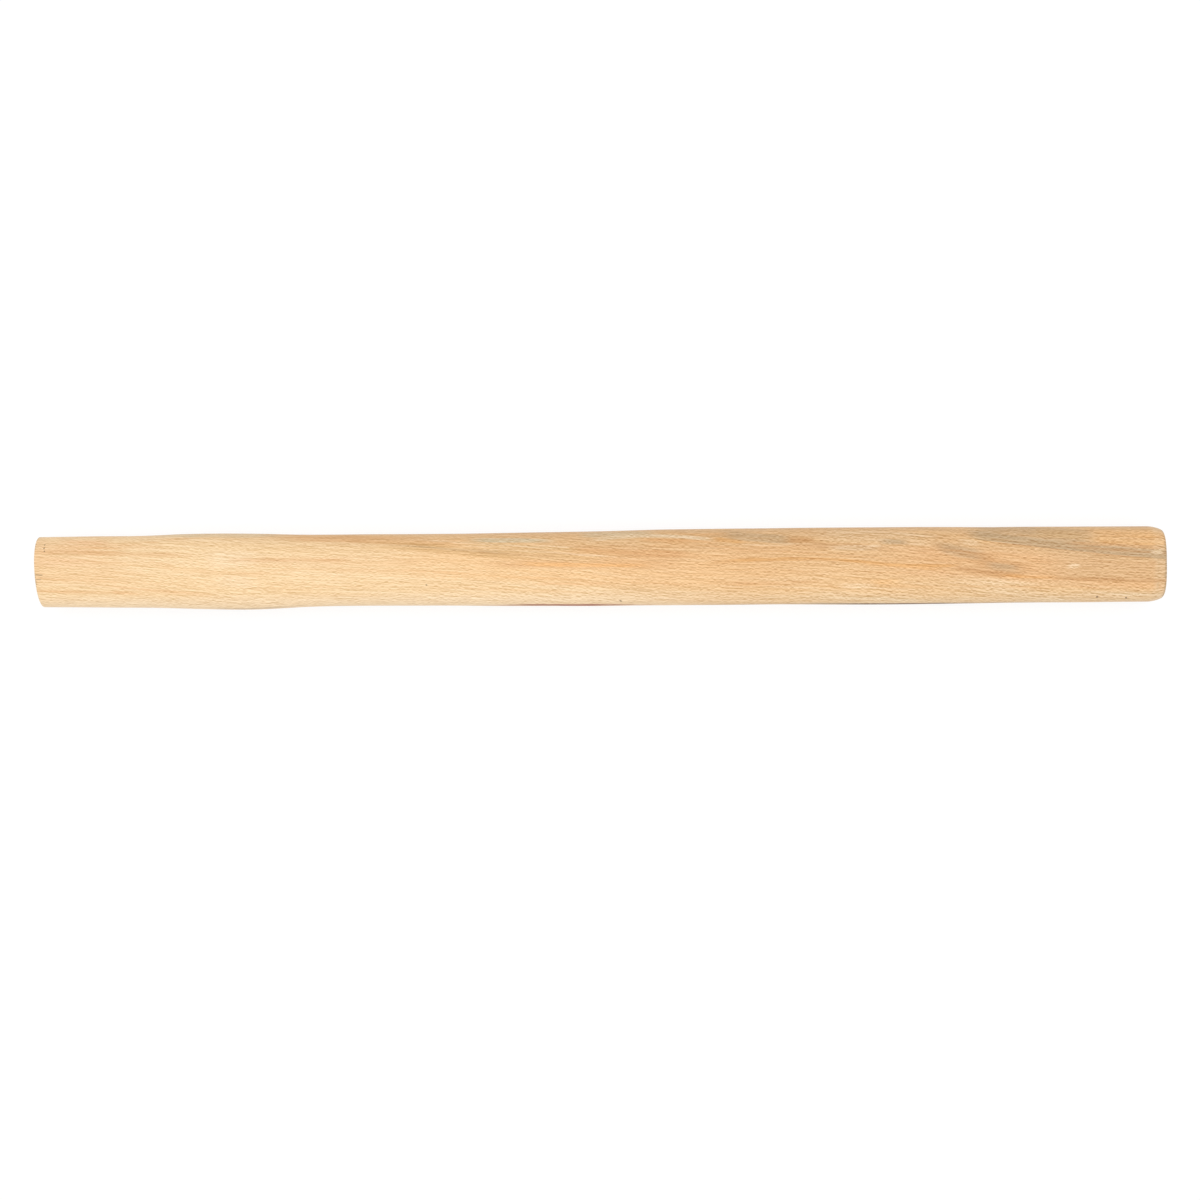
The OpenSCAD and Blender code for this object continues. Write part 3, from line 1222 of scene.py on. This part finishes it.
# Figure on the broad upper side
UPPER_STREAKS = (
    # Broad zones of colour, with painted sheen along the lower edge and painted shade at the two ends
    Streak((110, 345), (4.5, -5), 4.5, Tone.HONEY, 0.38, 45, (4, 3.5), fray=0.3),
    Streak((290, 470), (3, -9), 3.5, Tone.TAN, 0.65, 30, (3.5, 3.5), fray=0.3),
    Streak((350, 470), (0, -2), 4, Tone.PEWTER, 0.46, 20, (3, 3), fray=0.3),
    Streak((236, 352), (-0.5, -4), 5, Tone.PEWTER, 0.2, 30, (3, 3), fray=0.3),
    Streak((186, 282), (-5, -5), 8, Tone.UMBER, 0.22, 36, (4, 2.5), fray=0.3),
    Streak((-30, 44), (0, 0), 3.5, Tone.TAN, 0.24, 22, (2.5, 2), fray=0.3),
    Streak((66, 156), (3.2, 2.8), 1.2, Tone.TAN, 0.22, 24, (1.2, 1.2), fray=0.3),
    # Pale strips along the lower edge: painted sheen where the rounded edge turns towards the low softbox
    Streak((-60, 272), (-13.4, -13.4), 2.4, Tone.CREAM, 0.85, 80, (1, 3.6), deepest=-6, fray=0.2),
    Streak((240, 460), (-13.4, -13.4), 2.4, Tone.BLOND, 0.36, 60, (1, 3.2), deepest=-6, fray=0.2),
    Streak((394.5, 420), (0, 0), 20, Tone.BLOND, 0.35, 2, deepest=-14, fray=0.2),
    # Dark rim along the butt's edge: painted shade
    Streak((399, 420), (0, 0), 20, Tone.SLATE, 0.8, 0.5, deepest=-14, fray=0.2),
    Streak((396.2, 397.3), (-3, -3), 5, Tone.PEWTER, 0.5, 0.4, (3, 4), deepest=-14, fray=0.9),
    # Dark rim along the saw cut at the head end: painted shade
    Streak((-3, 0), (7, 7), 5, Tone.SLATE, 0.75, 0.5, (3, 9), deepest=-14, fray=0.3),
    Streak((-3, 0.8), (-7, -7), 5, Tone.SLATE, 0.75, 0.5, (9, 3), deepest=-14, fray=0.3),
    Streak((-30, 34), (7.5, 6.5), 3.2, Tone.ROSE, 0.35, 24, (3, 2)),
    Streak((58, 82), (4, 4), 1.6, Tone.CREAM, 0.55, 9, (2.5, 2.5), fray=0.3),
    Streak((62, 82), (-3.6, -4.6), 1.2, Tone.CREAM, 0.5, 8, (2, 2), fray=0.3),
    # Lines near the head end
    Streak((-6, 60), (7.3, 5.2), 0.4, Tone.UMBER, 0.45, 14, (0.7, 0.7)),
    Streak((6, 28), (10.6, 10.2), 0.5, Tone.ROSE, 0.4, 6, (0.9, 0.9)),
    Streak((10, 50), (9, 8.1), 0.3, Tone.TAN, 0.45, 12, (0.7, 0.7)),
    Streak((12, 66), (-4.2, -8.8), 0.2, Tone.TAN, 0.5, 12),
    Streak((-6, 42), (-6.5, -7.7), 0.25, Tone.TAN, 0.5, 12),
    Streak((66, 114), (3.7, 3.4), 0.3, Tone.UMBER, 0.75, 10, (0.5, 0.4), bow=-0.2),
    # Brown band that crosses from the upper edge to the middle
    Streak((36, 94), (12.7, 12.2), 0.35, Tone.SILVER, 0.5, 14, (0.4, 0.6), deepest=-4),
    Streak((74, 156), (12.7, 8.6), 0.9, Tone.UMBER, 0.78, 22, (0.6, 1.6), fray=0.55),
    Streak((112, 206), (10.1, 2.1), 0.9, Tone.OLIVE, 0.66, 24, (0.8, 1.5), bow=-0.4, fray=0.75),
    Streak((138, 192), (7.8, 3.2), 0.45, Tone.SLATE, 0.1, 14, (0.5, 0.7), fray=0.5),
    Streak((150, 220), (9.2, 4.8), 0.35, Tone.OLIVE, 0.8, 16, (0.6, 0.6)),
    Streak((128, 196), (10.9, 5.6), 0.15, Tone.CREAM, 0.5, 14, (0.3, 0.3), bow=0.4, fray=0.4),
    Streak((144, 204), (8.9, 3.6), 0.1, Tone.CREAM, 0.4, 14, (0.3, 0.3), bow=0.3, fray=0.4),
    Streak((150, 214), (7.4, 2.9), 0.1, Tone.CREAM, 0.5, 14, (0.3, 0.3), bow=0.3, fray=0.4),
    Streak((168, 226), (8.4, 5.8), 0.1, Tone.CREAM, 0.5, 14, (0.3, 0.3), fray=0.4),
    Streak((120, 174), (9.2, 5), 0.12, Tone.SLATE, 0.45, 14, (0.3, 0.4), fray=0.4),
    Streak((150, 208), (6.3, 2.2), 0.12, Tone.COCOA, 0.3, 14, (0.3, 0.4), fray=0.4),
    Streak((176, 238), (5.5, 3.2), 0.15, Tone.COCOA, 0.5, 14, (0.3, 0.4), fray=0.4),
    Streak((180, 242), (8.2, 6.6), 0.15, Tone.COCOA, 0.45, 14, (0.3, 0.4), fray=0.4),
    Streak((186, 236), (6.9, 4.2), 0.65, Tone.UMBER, 0.95, 12, (0.6, 0.8)),
    Streak((152, 232), (2.4, 0.6), 0.8, Tone.UMBER, 0.5, 20, (1, 1), bow=-0.5),
    Streak((158, 192), (7, 5.8), 0.6, Tone.OLIVE, 0.4, 11, (0.8, 0.8)),
    Streak((194, 232), (3.3, 2.6), 0.7, Tone.UMBER, 0.45, 13, (1, 1)),
    Streak((166, 220), (2, 0.7), 0.3, Tone.AMBER, 0.5, 14, (0.6, 0.6), bow=-0.4),
    # Pale lenses and dark stains along the upper edge
    Streak((150, 186), (10.3, 9.7), 0.4, Tone.SILVER, 0.8, 11, (0.6, 0.6), fray=0.3),
    Streak((190, 222), (11.8, 12), 0.6, Tone.SILVER, 0.55, 8, (0.8, 0.8), fray=0.3),
    Streak((194, 243), (9.3, 9), 0.35, Tone.BLOND, 0.9, 9, bow=2.1, fray=0.3),
    Streak((212, 244), (9.8, 8.2), 0.28, Tone.UMBER, 0.75, 8, (0.4, 0.4), bow=0.8, fray=0.3),
    Streak((238, 253), (9.9, 9), 0.5, Tone.RUSSET, 0.85, 5, (0.4, 0.5), fray=0.4),
    Streak((241, 271), (11.6, 8.9), 1.1, Tone.SLATE, 0.68, 8, (0.6, 0.9), fray=0.35),
    Streak((248, 271), (8.2, 7.9), 0.12, Tone.CREAM, 0.4, 6, (0.3, 0.3), bow=-0.5, fray=0.3),
    Streak((246, 284), (6.7, 6), 0.8, Tone.UMBER, 0.45, 12, (1, 0.9)),
    Streak((264, 277), (9.6, 9), 0.6, Tone.COCOA, 0.75, 4.5, (0.8, 0.9), fray=0.5),
    Streak((268, 302), (8.2, 6.2), 0.7, Tone.COCOA, 0.4, 10, (1, 1)),
    Streak((274, 322), (11.2, 9), 1.6, Tone.BLOND, 0.36, 12, (1.5, 1.5)),
    Streak((297, 310), (8.7, 8.3), 0.5, Tone.SLATE, 0.74, 5, (0.9, 0.9), fray=0.3),
    Streak((279, 300), (6.5, 6.2), 0.5, Tone.BLOND, 0.5, 7, (0.7, 0.7), fray=0.3),
    Streak((294, 300), (7.1, 7.1), 0.3, Tone.CREAM, 0.5, 2.5, fray=0.2),
    Streak((325, 336), (8.6, 7.6), 0.7, Tone.BLOND, 0.36, 4.5, (0.8, 0.8)),
    # Orange and brown line of a growth ring through the grip
    Streak((234, 290), (1.4, 2), 0.3, Tone.RUSSET, 0.9, 14, (0.7, 0.5), bow=0.9),
    Streak((280, 304), (2.5, 0.4), 0.3, Tone.RUSSET, 0.9, 7, (0.35, 0.4), fray=0.2),
    Streak((297, 328), (0.5, -0.3), 0.3, Tone.RUSSET, 0.9, 6, (0.35, 0.35), fray=0.2),
    Streak((288, 324), (0.9, -1.4), 0.4, Tone.HONEY, 0.6, 10),
    Streak((322, 352), (-0.4, -4.6), 0.3, Tone.COCOA, 0.6, 5, (0.5, 0.7), bow=-0.2, fray=0.4),
    Streak((338, 364), (-3.6, -4.9), 0.3, Tone.AMBER, 0.42, 8, (0.4, 0.6), fray=0.45),
    Streak((352, 408), (-4.5, -6.4), 0.3, Tone.COCOA, 0.8, 16, (0.4, 0.6), fray=0.45),
    Streak((242, 282), (-5.4, -5.2), 0.3, Tone.UMBER, 0.5, 9, bow=-0.6),
    Streak((294, 307), (-5.6, -5.6), 0.5, Tone.HONEY, 0.45, 5),
    Streak((282, 299), (-7, -7), 0.6, Tone.CREAM, 0.5, 6, (0.8, 0.8)),
    Streak((174, 206), (-5.5, -5.6), 0.18, Tone.TAN, 0.6, 8, (0.4, 0.4)),
    # Brown cloud in the grip
    Streak((315, 341), (7.3, 1.5), 0.5, Tone.COCOA, 0.62, 7, (1, 1.5), fray=0.5),
    Streak((308, 346), (4, 2.4), 1.2, Tone.UMBER, 0.35, 11, (1.2, 1.2)),
    Streak((316, 338), (6.9, 2.6), 1.2, Tone.SLATE, 0.56, 7, (1.2, 1.8), fray=0.4),
    Streak((318, 340), (5.9, 3.2), 0.15, Tone.COCOA, 0.65, 6, (0.3, 0.4), fray=0.4),
    Streak((328, 354), (2.2, -2.8), 1.5, Tone.COCOA, 0.42, 8, (1.5, 1.5)),
    Streak((334, 350), (0.4, -2.2), 0.8, Tone.SLATE, 0.6, 6, (1.2, 1.2)),
    Streak((325, 346), (-1.4, -4), 0.4, Tone.COCOA, 0.45, 6, (0.6, 0.8)),
    Streak((342, 360), (-2.2, -3.2), 0.7, Tone.COCOA, 0.12, 5, (0.8, 0.8)),
    # Grey heart stain that runs to the butt, with orange wood above it
    Streak((370, 406), (10, 8.8), 1.8, Tone.HONEY, 0.36, 7, (1, 1.5), fray=0.4),
    Streak((373, 402), (9.9, 9.3), 0.22, Tone.RUSSET, 0.45, 6, (0.4, 0.4)),
    Streak((374, 398), (7.7, 6.8), 0.25, Tone.RUSSET, 0.5, 6, (0.4, 0.4)),
    Streak((328, 378), (12.8, 9.4), 2, Tone.SLATE, 0.6, 10, (0.9, 1.2), fray=0.4),
    Streak((327, 412), (11.5, 2.2), 1.2, Tone.SLATE, 0.88, 9, (0.3, 0.9), bow=-1.1, fray=0.25),
    Streak((351, 374), (11.5, 10.6), 0.9, Tone.OLIVE, 0.35, 6, (0.9, 0.9), fray=0.3),
    Streak((362, 402), (7.6, 5.1), 0.3, Tone.COCOA, 0.66, 7, (0.4, 0.6), fray=0.5),
    Streak((364, 406), (6.2, 3.4), 0.2, Tone.COCOA, 0.5, 7, (0.4, 0.4), fray=0.5),
    Streak((338, 398), (8.3, 1.9), 0.12, Tone.COCOA, 0.5, 9, (0.3, 0.4), bow=-0.7, fray=0.4),
    # Spots, specks and a short check
    Streak((363.6, 369.6), (-0.5, -0.5), 0.45, Tone.CREAM, 0.6, 2.4, (0.6, 0.6), fray=0.1),
    Streak((393.5, 399.5), (4.3, 4.2), 0.5, Tone.BLOND, 0.85, 2, fray=0.1),
    Streak((375.3, 376.3), (-11.5, -11.5), 0.14, Tone.SPECK, 0.75, 0.3, (0.3, 0.3), fray=0),
    Streak((385.9, 386.9), (-11.9, -11.9), 0.14, Tone.SPECK, 0.75, 0.3, (0.3, 0.3), fray=0),
    Streak((206.4, 207.6), (-11.7, -11.7), 0.15, Tone.SPECK, 0.6, 0.4, (0.3, 0.3), fray=0),
    Streak((138.1, 139.1), (-5.6, -5.6), 0.12, Tone.SPECK, 0.6, 0.4, (0.3, 0.3), fray=0),
    Streak((2.4, 3), (9.6, 9.6), 0.14, Tone.SPECK, 0.8, 0.2, (0.15, 0.15), fray=0),
    Streak((2.6, 3.2), (8.4, 8.4), 0.16, Tone.SPECK, 0.9, 0.2, (0.15, 0.15), fray=0),
    Streak((3.1, 3.7), (7.3, 7.3), 0.14, Tone.SPECK, 0.8, 0.2, (0.15, 0.15), fray=0),
    Streak((0.2, 3.4), (-1, -1.1), 0.1, Tone.SPECK, 0.6, 0.8, (0.2, 0.2), fray=0.2),
    Streak((0.2, 2.8), (-2.6, -2.7), 0.1, Tone.SPECK, 0.5, 0.8, (0.2, 0.2), fray=0.2),
)

# Lines on the narrow front side, each made of a few spindles: the reddish ones are a stain, the dark ones
# are painted shade along the lower edge where the handle meets the floor
FRONT_STREAKS = (
    Streak((152, 226), (2.6, 3.2), 0.45, Tone.BARK, 1, 26, (0.5, 0.5), fray=0.35),
    Streak((163, 211), (3.6, 4), 0.35, Tone.BARK, 0.95, 15, (0.5, 0.4), fray=0.3),
    Streak((170, 212), (1.6, 2.1), 0.3, Tone.BARK, 0.8, 20, (0.4, 0.5)),
    # Dark lines from here on: painted shade along the lower edge
    Streak((258, 350), (3.2, 2.5), 0.5, Tone.SPECK, 0.95, 34, (0.5, 0.6), fray=0.35),
    Streak((270, 340), (4.1, 3.4), 0.35, Tone.SPECK, 0.9, 22, (0.5, 0.4), fray=0.3),
    Streak((282, 326), (2, 1.6), 0.3, Tone.SPECK, 0.7, 20, (0.4, 0.5)),
    Streak((320, 366), (3.3, 2.8), 0.4, Tone.SPECK, 0.5, 20, (0.5, 0.5)),
    Streak((226, 284), (3.3, 2.8), 0.4, Tone.SPECK, 0.35, 24, (0.5, 0.5)),
    Streak((54, 98), (2.4, 3), 0.5, Tone.SPECK, 0.35, 20, (0.6, 0.6)),
)

# Figure on the broad lower side
UNDER_STREAKS = (
    Streak((20, 190), (6.5, -2), 1.2, Tone.UMBER, 0.5, 45, (1.5, 2), bow=1.2),
    Streak((60, 250), (9.5, 1.5), 0.4, Tone.RUSSET, 0.45, 40, (0.5, 0.9), bow=0.8),
    Streak((150, 330), (3, -6), 2, Tone.HONEY, 0.45, 50, (2, 2.5)),
    Streak((210, 420), (8.8, 1), 1.2, Tone.SLATE, 0.5, 50, (0.8, 1.6), bow=-1),
    Streak((230, 420), (6, -2.4), 0.3, Tone.COCOA, 0.5, 40, (0.4, 0.7), bow=-0.7),
    Streak((40, 160), (-3.5, -8.5), 1.2, Tone.CREAM, 0.5, 30, (1.5, 1.5)),
    Streak((250, 380), (-4.5, -9), 1.5, Tone.BLOND, 0.4, 30, (1.5, 1.5)),
)

HANDLE_STREAKS = (
    *UPPER_STREAKS,
    *(replace(streak, side=Side.FRONT, deepest=8.0) for streak in FRONT_STREAKS),
    *(replace(streak, side=Side.UNDER) for streak in UNDER_STREAKS),
)


def main() -> None:
    """Build the handle and the studio."""
    logging.basicConfig(level=logging.INFO, format="%(name)s: %(message)s")
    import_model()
    _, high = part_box("handle")
    handle = Handle(length=float(high[0]), sections=HANDLE_SECTIONS, streaks=HANDLE_STREAKS)
    piece = handle.build()
    handle.dress(piece)
    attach(piece, "root")
    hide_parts("handle")
    LOG.info("%s: %d faces", piece.name, len(piece.data.polygons))

    visual_box = [list(map(float, corner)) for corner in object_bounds()]
    floor_height = visual_box[0][2]
    Studio(middle=Vector((handle.length / 2, 0.0, 0.0)), floor_height=floor_height).set_up()
    LOG.info("studio: floor at %.4f m", floor_height)


if __name__ == "__main__":
    main()
